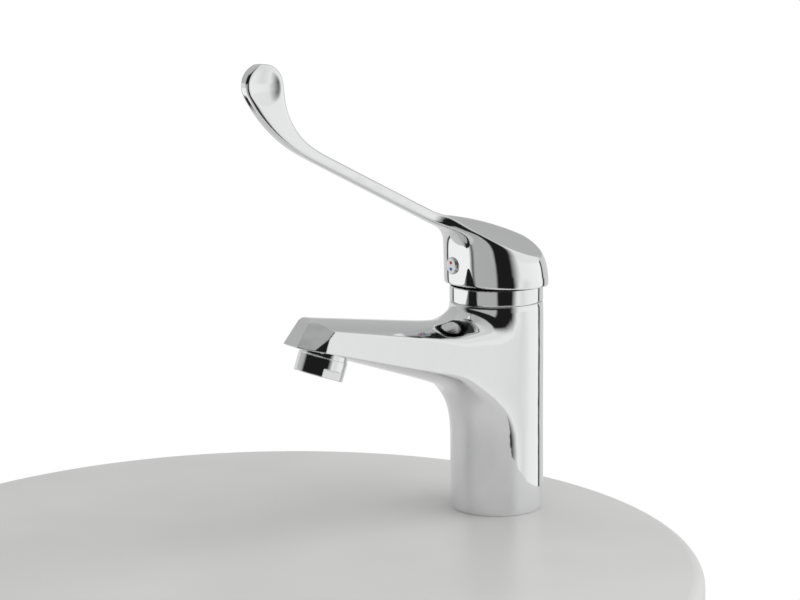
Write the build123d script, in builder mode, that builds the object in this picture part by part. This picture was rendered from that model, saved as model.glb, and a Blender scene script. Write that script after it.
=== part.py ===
from build123d import *
from math import cos, hypot, radians, sin, sqrt, tan
import os

# An elbow lever tap: a single-lever basin mixer whose handle carries a long arm that an elbow can push.
# All lengths are in millimetres and all angles in degrees.
# The origin is the centre of the foot, on the basin. +Z is up, and the spout and the arm point to -Y.

# Clearances that the whole tap shares
thread_gap = 0.05
slip_gap = 0.06
easy_gap = 0.15
overrun = 2.0
half_turn = 180.0

# The basin under the foot, which isn't part of the tap
deck_thickness = 12.0

# Body casting
body_radius = 24.0
body_height = 107.9
body_edge = 0.5
foot_bore_radius = 18.0
foot_bore_height = 30.0
gasket_inner_radius = 19.6
gasket_outer_radius = 22.4
gasket_height = 1.8

# Spout: a wedge with flat sides and a crowned top and underside, from the body's axis to the nose
spout_length = 126.0
spout_root_half_width = 22.0
spout_tip_half_width = 14.6
spout_root_drop = 12.3
spout_crown = 8.1
spout_root_side = 21.9
spout_keel = 9.3
spout_rise = 16.9
spout_tip_crown = 3.6
spout_tip_side = 9.2
spout_tip_keel = 0.3
nose_setback = 4.5
nose_foot_drop = 10.6
nose_half_width = 6.6
nose_lean = 35.3
nose_cheek_turn = 44.2
nose_cheek_lean = 31.0
belly_fillet = 14.0
neck_fillet = 6.0

# Cartridge bore, its nut thread, and the water ways under its seat
seat_depth = 28.9
cartridge_radius = 17.4
cartridge_bore_gap = 0.25
nut_radius = 19.5
nut_thread_depth = 9.4
inlet_spread = 8.5
inlet_offset = 4.5
inlet_port_radius = 3.0
socket_radius = 5.0
socket_depth = 12.0
outlet_offset = 7.5
outlet_port_radius = 3.4
channel_radius = 4.5
channel_drop = 6.6
channel_bend = 14.0
spout_channel_radius = 4.0
peg_spread = 11.8
peg_offset = 6.0
peg_radius = 1.8
peg_length = 2.2

# Aerator, square to the underside of the nose
aerator_setback = 18.7
aerator_drop = 17.6
aerator_tilt = 19.3
aerator_radius = 12.2
aerator_skirt = 9.3
aerator_thread_radius = 11.9
aerator_thread_length = 6.0
aerator_bore_radius = 10.4
aerator_lip_radius = 9.6
aerator_lip = 1.5
flat_half_distance = 11.2
flat_height = 4.1
washer_inner_radius = 9.0
washer_thickness = 1.6
chamber_radius = 8.6
chamber_height = 7.2
insert_height = 12.0
insert_wall = 1.0
insert_plate = 1.6
insert_hole_radius = 0.6
insert_ring_radii = (2.4, 4.8, 7.2)
insert_ring_counts = (6, 12, 18)
screen_thickness = 0.4
screen_pitch = 1.9
screen_hole_radius = 0.7
screen_count = 9
straightener_thickness = 2.2
straightener_pitch = 2.2
straightener_hole = 1.7
straightener_count = 7

# Fixings under the basin
stud_radius = 3.95
stud_offset = 10.5
stud_grip = 14.0
stud_below = 33.0
stud_chamfer = 0.7
horseshoe_radius = 24.0
horseshoe_slot = 14.2
horseshoe_slot_corner = 4.7
horseshoe_slot_end = 3.0
horseshoe_corner = 1.0
rubber_thickness = 3.0
plate_thickness = 2.5
fixing_nut_flats = 13.0
fixing_nut_height = 6.5

# Cartridge
base_height = 5.0
base_step = 2.6
seal_height = 1.3
seal_wall = 1.6
port_edge = 0.5
disc_inlet_spread = 6.5
disc_inlet_radius = 2.4
fixed_disc_radius = 13.0
fixed_disc_height = 4.0
moving_disc_radius = 11.3
moving_disc_height = 3.5
cavity_depth = 1.8
cavity_half_width = 8.4
cavity_front = 1.2
cavity_back = 4.0
carrier_height = 5.5
carrier_flat = 9.5
carrier_floor = 0.5
socket_step = 1.5
socket_wide = 3.8
housing_height = 21.0
housing_lip = 2.7
guide_radius = 15.4
guide_neck_radius = 11.6
guide_neck_height = 6.2
guide_floor = 1.5
neck_seal_height = 1.4
neck_seal_width = 1.3

# Spindle and its cross pin
spindle_width = 9.0
spindle_depth = 8.0
spindle_edge = 0.6
pivot_rise = 23.0
pivot_boss_radius = 4.2
pin_radius = 1.5
pin_length = 20.0
shank_radius = 1.6
ball_radius = 2.5
ball_drop = 7.5
spindle_length = 30.0
lift_limit = 22.0

# Retaining nut and trim collar
nut_flange = 3.3
nut_inner_radius = 13.2
nut_neck_radius = 18.4
nut_neck_height = 5.2
nut_slot_width = 4.0
nut_slot_depth = 2.0
collar_radius = 23.85
collar_height = 8.5
collar_edge = 0.5

# Handle hub: a stack of circles that lean forward, under a ridged roof
rim_gap = 0.7
hub_rises = (-5.1, 6.9, 13.9, 22.9, 35.9)
hub_offsets = (0.0, 0.5, 2.6, 7.0, 13.0)
hub_radii = (26.6, 26.3, 24.9, 23.0, 20.0)
roof_front = 45.0
roof_front_rise = 38.3
roof_ridge_rise = 29.2
roof_back = 34.0
roof_back_rise = 14.1
roof_slope = 30.0
roof_ridge_fillet = 9.0
rim_tilt = 4.0
rim_fillet = 0.8
hub_bore_radius = 24.5
hub_bore_rise = 6.9
hub_dome_radius = 17.0
hub_dome_rise = 13.9
block_half_width = 8.0
block_front = 8.0
block_back = 9.5
block_rise = 1.9

# Arm and its round end
arm_thickness = 7.0
arm_depth = 5.6
arm_rise = 27.2
arm_root_reach = 26.0
arm_root_rise = 26.2
arm_lower_bend = 112.0
arm_upper_bend = 104.2
arm_fillet = 1.3
end_reach = 132.8
end_rise = 104.9
end_radius = 10.2
dimple_radius = 8.5
dimple_depth = 1.6

# Set screw and indicator button in the front of the hub
screw_rise = 10.8
screw_radius = 2.45
screw_length = 8.0
screw_socket_flats = 2.5
screw_socket_depth = 3.0
screw_bore_radius = 3.2
screw_boss_radius = 6.0
button_radius = 4.35
button_seat = 22.6
button_face = 27.9
button_edge = 0.5
mark_width = 2.4
mark_height = 1.6
mark_depth = 0.4
mark_spread = 1.6

os.makedirs("parts", exist_ok=True)


def keep(name, label):
    # Names a finished piece and writes it out.
    name.part.label = label
    export_step(name.part, "parts/" + label + ".step")
    print(label, round(name.part.volume), "mm3")


# Reaches and heights that follow from the sizes above
nose_reach = spout_length - nose_setback
aerator_reach = nose_reach - aerator_setback
roof_half_width = hub_radii[0] + overrun
spout_root_crest = body_height - spout_root_drop
spout_root_shoulder = spout_root_crest - spout_crown
spout_root_crease = spout_root_shoulder - spout_root_side
spout_root_belly = spout_root_crease - spout_keel
spout_tip_crest = spout_root_crest + spout_rise
spout_tip_shoulder = spout_tip_crest - spout_tip_crown
spout_tip_crease = spout_tip_shoulder - spout_tip_side
spout_tip_belly = spout_tip_crease - spout_tip_keel
nose_foot_height = body_height - nose_foot_drop
aerator_height = body_height - aerator_drop
seat_height = body_height - seat_depth
pivot_height = seat_height + pivot_rise
spindle_top = pivot_height + spindle_length
cartridge_bore_radius = cartridge_radius + cartridge_bore_gap
nut_foot = body_height - nut_thread_depth
disc_floor = seat_height + base_height
disc_face = disc_floor + fixed_disc_height
carrier_foot = disc_face + moving_disc_height
carrier_top = carrier_foot + carrier_height
guide_foot = carrier_top + slip_gap
housing_top = disc_floor + housing_height
guide_shoulder = housing_top - housing_lip - slip_gap
guide_top = guide_shoulder + guide_neck_height
nut_face = housing_top + nut_flange
nut_top = nut_face + nut_neck_height
collar_top = body_height + collar_height
rim_height = collar_top + rim_gap
hub_heights = [rim_height + hub_rise for hub_rise in hub_rises]
roof_front_height = rim_height + roof_front_rise
roof_ridge_height = rim_height + roof_ridge_rise
roof_back_height = rim_height + roof_back_rise
hub_bore_top = rim_height + hub_bore_rise
hub_dome_top = rim_height + hub_dome_rise
block_foot = rim_height + block_rise
arm_root_height = rim_height + arm_root_rise
end_height = rim_height + end_rise
screw_height = rim_height + screw_rise

# Water ways: both inlets rise straight to the seat, and the outlet drops to a channel into the spout
aerator_plane = Plane(
    origin=(0, -aerator_reach, aerator_height),
    x_dir=(1, 0, 0),
    z_dir=(0, sin(radians(aerator_tilt)), cos(radians(aerator_tilt))),
)
aerator_seat = aerator_thread_length + washer_thickness
channel_height = seat_height - channel_drop
chamber_middle = aerator_plane.from_local_coords((0, 0, aerator_seat + chamber_height / 2))
channel_start = Vector(0, -channel_bend + channel_radius, channel_height)
channel_run = chamber_middle - channel_start


# Body: column and spout
with BuildPart() as body:
    with BuildSketch():
        Circle(body_radius)
    extrude(amount=body_height)
    with BuildSketch(Plane.XZ):
        with BuildLine():
            root_points = [
                (-spout_root_half_width, spout_root_shoulder),
                (0, spout_root_crest),
                (spout_root_half_width, spout_root_shoulder),
                (spout_root_half_width, spout_root_crease),
                (0, spout_root_belly),
                (-spout_root_half_width, spout_root_crease),
            ]
            ThreePointArc(root_points[0], root_points[1], root_points[2])
            Line(root_points[2], root_points[3])
            ThreePointArc(root_points[3], root_points[4], root_points[5])
            Line(root_points[5], root_points[0])
        make_face()
    with BuildSketch(Plane.XZ.offset(spout_length)):
        with BuildLine():
            tip_points = [
                (-spout_tip_half_width, spout_tip_shoulder),
                (0, spout_tip_crest),
                (spout_tip_half_width, spout_tip_shoulder),
                (spout_tip_half_width, spout_tip_crease),
                (0, spout_tip_belly),
                (-spout_tip_half_width, spout_tip_crease),
            ]
            ThreePointArc(tip_points[0], tip_points[1], tip_points[2])
            Line(tip_points[2], tip_points[3])
            ThreePointArc(tip_points[3], tip_points[4], tip_points[5])
            Line(tip_points[5], tip_points[0])
        make_face()
    loft(ruled=True)

    # Belly and neck, where the spout grows out of the column
    def on_column(edge):
        # True for an edge that lies on the column's wall, in front of the axis.
        spots = [edge @ 0, edge @ 0.5, edge @ 1]
        on_wall = all(abs(hypot(spot.X, spot.Y) - body_radius) < thread_gap for spot in spots)
        return on_wall and edge.center().Y < 0 and thread_gap < edge.center().Z < body_height - thread_gap

    belly_edges = [e for e in body.edges() if on_column(e) and e.center().Z < spout_root_crease + belly_fillet / 2]
    belly_edges = ShapeList(belly_edges).sort_by(Axis.Z)[:1]
    fillet(belly_edges, belly_fillet)
    neck_edges = [e for e in body.edges() if on_column(e)]
    fillet(neck_edges, neck_fillet)

    # Nose: one front facet between two cheeks, all leaning back
    front_normal = (0, -cos(radians(nose_lean)), sin(radians(nose_lean)))
    split(bisect_by=Plane(origin=(0, -nose_reach, nose_foot_height), z_dir=front_normal), keep=Keep.BOTTOM)
    for side in (-1, 1):
        cheek_normal = (
            side * sin(radians(nose_cheek_turn)) * cos(radians(nose_cheek_lean)),
            -cos(radians(nose_cheek_turn)) * cos(radians(nose_cheek_lean)),
            sin(radians(nose_cheek_lean)),
        )
        cheek_origin = (side * nose_half_width, -nose_reach, nose_foot_height)
        split(bisect_by=Plane(origin=cheek_origin, z_dir=cheek_normal), keep=Keep.BOTTOM)
    chamfer(body.faces().sort_by(Axis.Z)[0].edges(), body_edge)

    # Recess under the foot, and the groove of the base gasket
    with BuildSketch():
        Circle(foot_bore_radius)
    extrude(amount=foot_bore_height, mode=Mode.SUBTRACT)
    with BuildSketch():
        Circle(gasket_outer_radius)
        Circle(gasket_inner_radius, mode=Mode.SUBTRACT)
    extrude(amount=gasket_height, mode=Mode.SUBTRACT)

    # Cartridge bore and the wider bore of the retaining nut
    with BuildSketch(Plane.XY.offset(seat_height)):
        Circle(cartridge_bore_radius)
    extrude(amount=body_height - seat_height, mode=Mode.SUBTRACT)
    with BuildSketch(Plane.XY.offset(nut_foot)):
        Circle(nut_radius + thread_gap)
    extrude(amount=nut_thread_depth, mode=Mode.SUBTRACT)

    # Inlets, outlet, peg holes and the stud's hole
    with BuildSketch(Plane.XY.offset(foot_bore_height)):
        with Locations((-inlet_spread, -inlet_offset), (inlet_spread, -inlet_offset)):
            Circle(socket_radius)
    extrude(amount=socket_depth, mode=Mode.SUBTRACT)
    with BuildSketch(Plane.XY.offset(foot_bore_height)):
        with Locations((-inlet_spread, -inlet_offset), (inlet_spread, -inlet_offset)):
            Circle(inlet_port_radius)
    extrude(amount=seat_height - foot_bore_height, mode=Mode.SUBTRACT)
    with BuildSketch(Plane.XY.offset(channel_height)):
        with Locations((0, outlet_offset)):
            Circle(outlet_port_radius)
    extrude(amount=channel_drop, mode=Mode.SUBTRACT)
    with BuildSketch(Plane.XY.offset(seat_height - peg_length)):
        with Locations((-peg_spread, peg_offset), (peg_spread, peg_offset)):
            Circle(peg_radius + easy_gap)
    extrude(amount=peg_length, mode=Mode.SUBTRACT)
    with BuildSketch(Plane.XY.offset(foot_bore_height)):
        with Locations((0, stud_offset)):
            Circle(stud_radius + thread_gap)
    extrude(amount=stud_grip, mode=Mode.SUBTRACT)

    # Channel from the outlet into the spout, and the aerator's bore
    with BuildSketch(Plane.XZ.offset(-outlet_offset - channel_radius)):
        with Locations((0, channel_height)):
            Circle(channel_radius)
    extrude(amount=outlet_offset + channel_radius + channel_bend, mode=Mode.SUBTRACT)
    with BuildSketch(Plane(origin=channel_start, x_dir=(1, 0, 0), z_dir=channel_run)):
        Circle(spout_channel_radius)
    extrude(amount=channel_run.length, mode=Mode.SUBTRACT)
    with BuildSketch(aerator_plane.offset(-overrun)):
        Circle(aerator_thread_radius + thread_gap)
    extrude(amount=overrun + aerator_seat, mode=Mode.SUBTRACT)
    with BuildSketch(aerator_plane.offset(aerator_seat)):
        Circle(chamber_radius)
    extrude(amount=chamber_height, mode=Mode.SUBTRACT)
keep(body, "body")

# Base gasket, pressed flush into its groove in the foot
with BuildPart() as base_gasket:
    with BuildSketch():
        Circle(gasket_outer_radius - thread_gap)
        Circle(gasket_inner_radius + thread_gap, mode=Mode.SUBTRACT)
    extrude(amount=gasket_height)
keep(base_gasket, "base_gasket")

# Fixing stud, screwed into the body and reaching through the basin
with BuildPart() as fixing_stud:
    with BuildSketch(Plane.XY.offset(-deck_thickness - stud_below)):
        with Locations((0, stud_offset)):
            Circle(stud_radius)
    extrude(amount=deck_thickness + stud_below + foot_bore_height + stud_grip)
    chamfer(fixing_stud.edges().filter_by(GeomType.CIRCLE), stud_chamfer)
keep(fixing_stud, "fixing_stud")


def horseshoe(top, thickness):
    # The outline of the rubber and the plate: a disc with a slot for the hoses, open to the front.
    with BuildPart() as piece:
        with BuildSketch(Plane.XY.offset(top - thickness)):
            Circle(horseshoe_radius)
            with BuildLine():
                Polyline(
                    (-horseshoe_slot, -horseshoe_radius - overrun),
                    (horseshoe_slot, -horseshoe_radius - overrun),
                    (horseshoe_slot, horseshoe_slot_end - horseshoe_slot_corner),
                    (horseshoe_slot - horseshoe_slot_corner, horseshoe_slot_end),
                    (horseshoe_slot_corner - horseshoe_slot, horseshoe_slot_end),
                    (-horseshoe_slot, horseshoe_slot_end - horseshoe_slot_corner),
                    close=True,
                )
            make_face(mode=Mode.SUBTRACT)
            with Locations((0, stud_offset)):
                Circle(stud_radius + easy_gap, mode=Mode.SUBTRACT)
        extrude(amount=thickness)
        fillet(piece.edges().filter_by(Axis.Z).group_by(Axis.Y)[0], horseshoe_corner)
    return piece


# Horseshoe rubber and steel plate under the basin
horseshoe_gasket = horseshoe(-deck_thickness, rubber_thickness)
keep(horseshoe_gasket, "horseshoe_gasket")
horseshoe_plate = horseshoe(-deck_thickness - rubber_thickness, plate_thickness)
keep(horseshoe_plate, "horseshoe_plate")

# Fixing nut on the stud
with BuildPart() as fixing_nut:
    nut_floor = -deck_thickness - rubber_thickness - plate_thickness - fixing_nut_height
    with BuildSketch(Plane.XY.offset(nut_floor)):
        with Locations((0, stud_offset)):
            RegularPolygon(fixing_nut_flats / 2, 6, major_radius=False)
            Circle(stud_radius + thread_gap, mode=Mode.SUBTRACT)
    extrude(amount=fixing_nut_height)
keep(fixing_nut, "fixing_nut")

# Aerator housing: a threaded sleeve with two wrench flats and a lip that carries the insert
with BuildPart() as aerator_housing:
    with BuildSketch(aerator_plane.offset(-aerator_skirt)):
        Circle(aerator_radius)
    extrude(amount=aerator_skirt)
    with BuildSketch(aerator_plane):
        Circle(aerator_thread_radius)
    extrude(amount=aerator_thread_length)
    with BuildSketch(aerator_plane.offset(-aerator_skirt)):
        for side in (-1, 1):
            with Locations((side * (flat_half_distance + aerator_radius / 2), 0)):
                Rectangle(aerator_radius, 2 * aerator_radius)
    extrude(amount=flat_height, mode=Mode.SUBTRACT)
    with BuildSketch(aerator_plane.offset(aerator_lip - aerator_skirt)):
        Circle(aerator_bore_radius)
    extrude(amount=aerator_skirt + aerator_thread_length, mode=Mode.SUBTRACT)
    with BuildSketch(aerator_plane.offset(-aerator_skirt)):
        Circle(aerator_lip_radius)
    extrude(amount=aerator_skirt, mode=Mode.SUBTRACT)
keep(aerator_housing, "aerator_housing")

# Aerator washer, between the housing and its seat in the nose
with BuildPart() as aerator_washer:
    with BuildSketch(aerator_plane.offset(aerator_thread_length)):
        Circle(aerator_thread_radius)
        Circle(washer_inner_radius, mode=Mode.SUBTRACT)
    extrude(amount=washer_thickness)
keep(aerator_washer, "aerator_washer")

# Flow straightener: a square grid that lies on the housing's lip
insert_radius = aerator_bore_radius - thread_gap
straightener_foot = aerator_lip - aerator_skirt
with BuildPart() as flow_straightener:
    with BuildSketch(aerator_plane.offset(straightener_foot)):
        Circle(insert_radius)
        with GridLocations(straightener_pitch, straightener_pitch, straightener_count, straightener_count):
            Rectangle(straightener_hole, straightener_hole, mode=Mode.SUBTRACT)
    extrude(amount=straightener_thickness)
keep(flow_straightener, "flow_straightener")

# Mesh screen on the straightener
screen_foot = straightener_foot + straightener_thickness
with BuildPart() as mesh_screen:
    with BuildSketch(aerator_plane.offset(screen_foot)):
        Circle(insert_radius)
        with GridLocations(screen_pitch, screen_pitch, screen_count, screen_count) as grid:
            inside = [
                spot for spot in grid.local_locations
                if hypot(spot.position.X, spot.position.Y) < insert_radius - screen_pitch
            ]
        with Locations(inside):
            Circle(screen_hole_radius, mode=Mode.SUBTRACT)
    extrude(amount=screen_thickness)
keep(mesh_screen, "mesh_screen")

# Aerator insert: a cup whose drilled plate breaks the water into jets
insert_foot = screen_foot + screen_thickness
insert_top = aerator_thread_length
with BuildPart() as aerator_insert:
    with BuildSketch(aerator_plane.offset(insert_foot)):
        Circle(insert_radius)
        Circle(insert_radius - insert_wall, mode=Mode.SUBTRACT)
    extrude(amount=insert_top - insert_foot)
    with BuildSketch(aerator_plane.offset(insert_top - 2 * insert_plate)):
        Circle(insert_radius)
        for ring_radius, ring_count in zip(insert_ring_radii, insert_ring_counts):
            with PolarLocations(ring_radius, ring_count):
                Circle(insert_hole_radius, mode=Mode.SUBTRACT)
    extrude(amount=insert_plate)
keep(aerator_insert, "aerator_insert")

# Cartridge base: a plate with two pegs, three ports and a groove round each port for its seal
outer_ports = [
    (-inlet_spread, -inlet_offset, inlet_port_radius),
    (inlet_spread, -inlet_offset, inlet_port_radius),
    (0, outlet_offset, outlet_port_radius),
]
with BuildPart() as cartridge_base:
    with BuildSketch(Plane.XY.offset(seat_height)):
        Circle(cartridge_radius)
    extrude(amount=base_height)
    with BuildSketch(Plane.XY.offset(seat_height)):
        with Locations((-peg_spread, peg_offset), (peg_spread, peg_offset)):
            Circle(peg_radius)
    extrude(amount=-peg_length)
    with BuildSketch(Plane.XY.offset(seat_height)):
        for port_x, port_y, port_radius in outer_ports:
            with Locations((port_x, port_y)):
                Circle(port_radius)
    extrude(amount=base_step, mode=Mode.SUBTRACT)
    with BuildSketch(Plane.XY.offset(seat_height)):
        for port_x, port_y, port_radius in outer_ports:
            with Locations((port_x, port_y)):
                Circle(port_radius + seal_wall)
    extrude(amount=seal_height, mode=Mode.SUBTRACT)
    with BuildSketch(Plane.XY.offset(seat_height + seal_height)):
        with Locations((-disc_inlet_spread, -inlet_offset), (disc_inlet_spread, -inlet_offset)):
            Circle(disc_inlet_radius)
        with Locations((0, outlet_offset)):
            Circle(outlet_port_radius)
    extrude(amount=base_height - seal_height, mode=Mode.SUBTRACT)
keep(cartridge_base, "cartridge_base")

# Three rubber seals between the cartridge base and the body's seat
with BuildPart() as port_seals:
    with BuildSketch(Plane.XY.offset(seat_height)):
        for port_x, port_y, port_radius in outer_ports:
            with Locations((port_x, port_y)):
                Circle(port_radius + seal_wall - thread_gap)
        for port_x, port_y, port_radius in outer_ports:
            with Locations((port_x, port_y)):
                Circle(port_radius, mode=Mode.SUBTRACT)
    extrude(amount=seal_height)
keep(port_seals, "port_seals")

# Fixed ceramic disc with its three ports
with BuildPart() as fixed_ceramic_disc:
    with BuildSketch(Plane.XY.offset(disc_floor)):
        Circle(fixed_disc_radius)
        with Locations((-disc_inlet_spread, -inlet_offset), (disc_inlet_spread, -inlet_offset)):
            Circle(disc_inlet_radius, mode=Mode.SUBTRACT)
        with Locations((0, outlet_offset)):
            Circle(outlet_port_radius, mode=Mode.SUBTRACT)
    extrude(amount=fixed_disc_height)
keep(fixed_ceramic_disc, "fixed_ceramic_disc")

# Moving ceramic disc: the cavity in its face joins the inlets to the outlet when the lever lifts
with BuildPart() as moving_ceramic_disc:
    with BuildSketch(Plane.XY.offset(disc_face)):
        Circle(moving_disc_radius)
    extrude(amount=moving_disc_height)
    with BuildSketch(Plane.XY.offset(disc_face)):
        with Locations((0, (cavity_back - cavity_front) / 2)):
            Rectangle(2 * cavity_half_width, cavity_back + cavity_front)
        with Locations((0, outlet_offset - port_edge)):
            Circle(outlet_port_radius)
    extrude(amount=cavity_depth, mode=Mode.SUBTRACT)
keep(moving_ceramic_disc, "moving_ceramic_disc")

# Disc carrier: slides between the guide's cheeks, with a socket for the spindle's ball
ball_height = pivot_height - ball_drop
with BuildPart() as disc_carrier:
    with BuildSketch(Plane.XY.offset(carrier_foot)):
        Circle(moving_disc_radius)
        Rectangle(2 * carrier_flat, 2 * moving_disc_radius, mode=Mode.INTERSECT)
    extrude(amount=carrier_height)
    with BuildSketch(Plane.XY.offset(carrier_foot + carrier_floor)):
        Circle(ball_radius + easy_gap)
    extrude(amount=carrier_height, mode=Mode.SUBTRACT)
    with BuildSketch(Plane.XY.offset(carrier_top - socket_step)):
        Circle(socket_wide)
    extrude(amount=socket_step, mode=Mode.SUBTRACT)
keep(disc_carrier, "disc_carrier")

# Cartridge housing: a cup with a lip that keeps the guide in
guide_bore_radius = guide_radius + slip_gap
lip_radius = guide_neck_radius + slip_gap
with BuildPart() as cartridge_housing:
    with BuildSketch(Plane.XY.offset(disc_floor)):
        Circle(cartridge_radius)
    extrude(amount=housing_height)
    with BuildSketch(Plane.XY.offset(disc_floor)):
        Circle(fixed_disc_radius + thread_gap)
    extrude(amount=fixed_disc_height, mode=Mode.SUBTRACT)
    with BuildSketch(Plane.XY.offset(disc_face)):
        Circle(guide_bore_radius)
    extrude(amount=housing_top - housing_lip - disc_face, mode=Mode.SUBTRACT)
    with BuildSketch(Plane.XY.offset(disc_face)):
        Circle(lip_radius)
    extrude(amount=housing_height, mode=Mode.SUBTRACT)
    with BuildSketch(Plane.XY.offset(housing_top - neck_seal_height)):
        Circle(lip_radius + neck_seal_width)
    extrude(amount=neck_seal_height, mode=Mode.SUBTRACT)
keep(cartridge_housing, "cartridge_housing")

# Seal round the guide's neck, in the housing's lip
with BuildPart() as guide_seal:
    with BuildSketch(Plane.XY.offset(housing_top - neck_seal_height)):
        Circle(lip_radius + neck_seal_width - thread_gap)
        Circle(lip_radius, mode=Mode.SUBTRACT)
    extrude(amount=neck_seal_height)
keep(guide_seal, "guide_seal")

# Spindle guide: turns in the housing, carries the cross pin, and its cheeks turn the carrier
pocket_front = pivot_boss_radius + easy_gap
tilt = radians(lift_limit)
pocket_back = (spindle_depth / 2 + (guide_top - pivot_height) * sin(tilt)) / cos(tilt) + easy_gap
shank_front = shank_radius + ball_drop * sin(tilt) + easy_gap
pocket_floor = pivot_height - pivot_boss_radius - easy_gap
with BuildPart() as spindle_guide:
    with BuildSketch(Plane.XY.offset(disc_face + moving_disc_height + slip_gap)):
        Circle(guide_radius)
        Rectangle(2 * (carrier_flat + slip_gap), 2 * guide_radius, mode=Mode.SUBTRACT)
    extrude(amount=carrier_height)
    with BuildSketch(Plane.XY.offset(guide_foot)):
        Circle(guide_radius)
    extrude(amount=guide_shoulder - guide_foot)
    with BuildSketch(Plane.XY.offset(guide_shoulder)):
        Circle(guide_neck_radius)
    extrude(amount=guide_neck_height)
    with BuildSketch(Plane.XY.offset(pocket_floor)):
        with Locations((0, (pocket_back - pocket_front) / 2)):
            Rectangle(spindle_width + 2 * easy_gap, pocket_back + pocket_front)
    extrude(amount=guide_top - pocket_floor, mode=Mode.SUBTRACT)
    with BuildSketch(Plane.XY.offset(guide_foot)):
        with Locations((0, (shank_radius + easy_gap - shank_front) / 2)):
            Rectangle(2 * (shank_radius + easy_gap), shank_front + shank_radius + easy_gap)
    extrude(amount=pocket_floor - guide_foot, mode=Mode.SUBTRACT)
    with BuildSketch(Plane.YZ.offset(-pin_length / 2)):
        with Locations((0, pivot_height)):
            Circle(pin_radius)
    extrude(amount=pin_length, mode=Mode.SUBTRACT)
keep(spindle_guide, "spindle_guide")

# Cross pin, held in the guide
with BuildPart() as pivot_pin:
    with BuildSketch(Plane.YZ.offset(-pin_length / 2)):
        with Locations((0, pivot_height)):
            Circle(pin_radius)
    extrude(amount=pin_length)
keep(pivot_pin, "pivot_pin")

# Lever spindle: a bar that turns on the cross pin, with a ball at its foot that pushes the carrier
with BuildPart() as lever_spindle:
    with BuildSketch(Plane.XY.offset(pivot_height)):
        RectangleRounded(spindle_width, spindle_depth, spindle_edge)
    extrude(amount=spindle_top - pivot_height)
    with BuildSketch(Plane.YZ.offset(-spindle_width / 2)):
        with Locations((0, pivot_height)):
            Circle(pivot_boss_radius)
    extrude(amount=spindle_width)
    with BuildSketch(Plane.XY.offset(ball_height)):
        Circle(shank_radius)
    extrude(amount=ball_drop)
    with Locations((0, 0, ball_height)):
        Sphere(ball_radius)
    with BuildSketch(Plane.YZ.offset(-spindle_width / 2)):
        with Locations((0, pivot_height)):
            Circle(pin_radius + slip_gap)
    extrude(amount=spindle_width, mode=Mode.SUBTRACT)
keep(lever_spindle, "lever_spindle")

# Retaining nut: a thread in the body, a flange on the cartridge and a neck for the trim collar
with BuildPart() as retaining_nut:
    with BuildSketch(Plane.XY.offset(nut_foot)):
        Circle(nut_radius)
    extrude(amount=nut_face - nut_foot)
    with BuildSketch(Plane.XY.offset(nut_face)):
        Circle(nut_neck_radius)
    extrude(amount=nut_neck_height)
    with BuildSketch(Plane.XY.offset(nut_foot)):
        Circle(cartridge_bore_radius)
    extrude(amount=housing_top - nut_foot, mode=Mode.SUBTRACT)
    with BuildSketch(Plane.XY.offset(housing_top)):
        Circle(nut_inner_radius)
    extrude(amount=nut_top - housing_top, mode=Mode.SUBTRACT)
    with BuildSketch(Plane.XY.offset(nut_top - nut_slot_depth)):
        with PolarLocations(nut_neck_radius, 4):
            Rectangle(nut_neck_radius, nut_slot_width)
    extrude(amount=nut_slot_depth, mode=Mode.SUBTRACT)
keep(retaining_nut, "retaining_nut")

# Trim collar, screwed on the nut's neck
with BuildPart() as trim_collar:
    with BuildSketch(Plane.XY.offset(body_height)):
        Circle(collar_radius)
    extrude(amount=collar_height)
    chamfer(trim_collar.edges().filter_by(GeomType.CIRCLE), collar_edge)
    with BuildSketch(Plane.XY.offset(body_height)):
        Circle(nut_neck_radius + thread_gap)
    extrude(amount=collar_height, mode=Mode.SUBTRACT)
    with BuildSketch(Plane.XY.offset(body_height)):
        Circle(nut_radius + easy_gap)
    extrude(amount=nut_face - body_height + easy_gap, mode=Mode.SUBTRACT)
keep(trim_collar, "trim_collar")

# Where the arm's straight edges bend, and the arcs that run from there into the round end
rise = radians(arm_rise)
arm_along = Vector(-cos(rise), sin(rise))
arm_across = Vector(sin(rise), cos(rise))
end_centre = Vector(-end_reach, end_height)
lower_root = Vector(-arm_root_reach, arm_root_height)
upper_root = lower_root + arm_across * arm_depth
lower_bend = lower_root + arm_along * ((arm_lower_bend - arm_root_reach) / cos(rise))
upper_bend = upper_root + arm_along * ((arm_upper_bend + upper_root.X) / cos(rise))
lower_gap = end_centre - lower_bend
upper_gap = end_centre - upper_bend
lower_arc = (lower_gap.length ** 2 - end_radius ** 2) / (2 * (lower_gap.dot(arm_across) - end_radius))
upper_arc = (upper_gap.length ** 2 - end_radius ** 2) / (2 * (upper_gap.dot(arm_across) + end_radius))
lower_centre = lower_bend + arm_across * lower_arc
upper_centre = upper_bend + arm_across * upper_arc
lower_touch = end_centre + (end_centre - lower_centre).normalized() * end_radius
upper_touch = end_centre + (upper_centre - end_centre).normalized() * end_radius
lower_middle = lower_centre + (lower_bend + lower_touch - lower_centre * 2).normalized() * lower_arc
upper_middle = upper_centre + (upper_bend + upper_touch - upper_centre * 2).normalized() * upper_arc
end_top = end_centre + Vector(0, end_radius)

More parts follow.
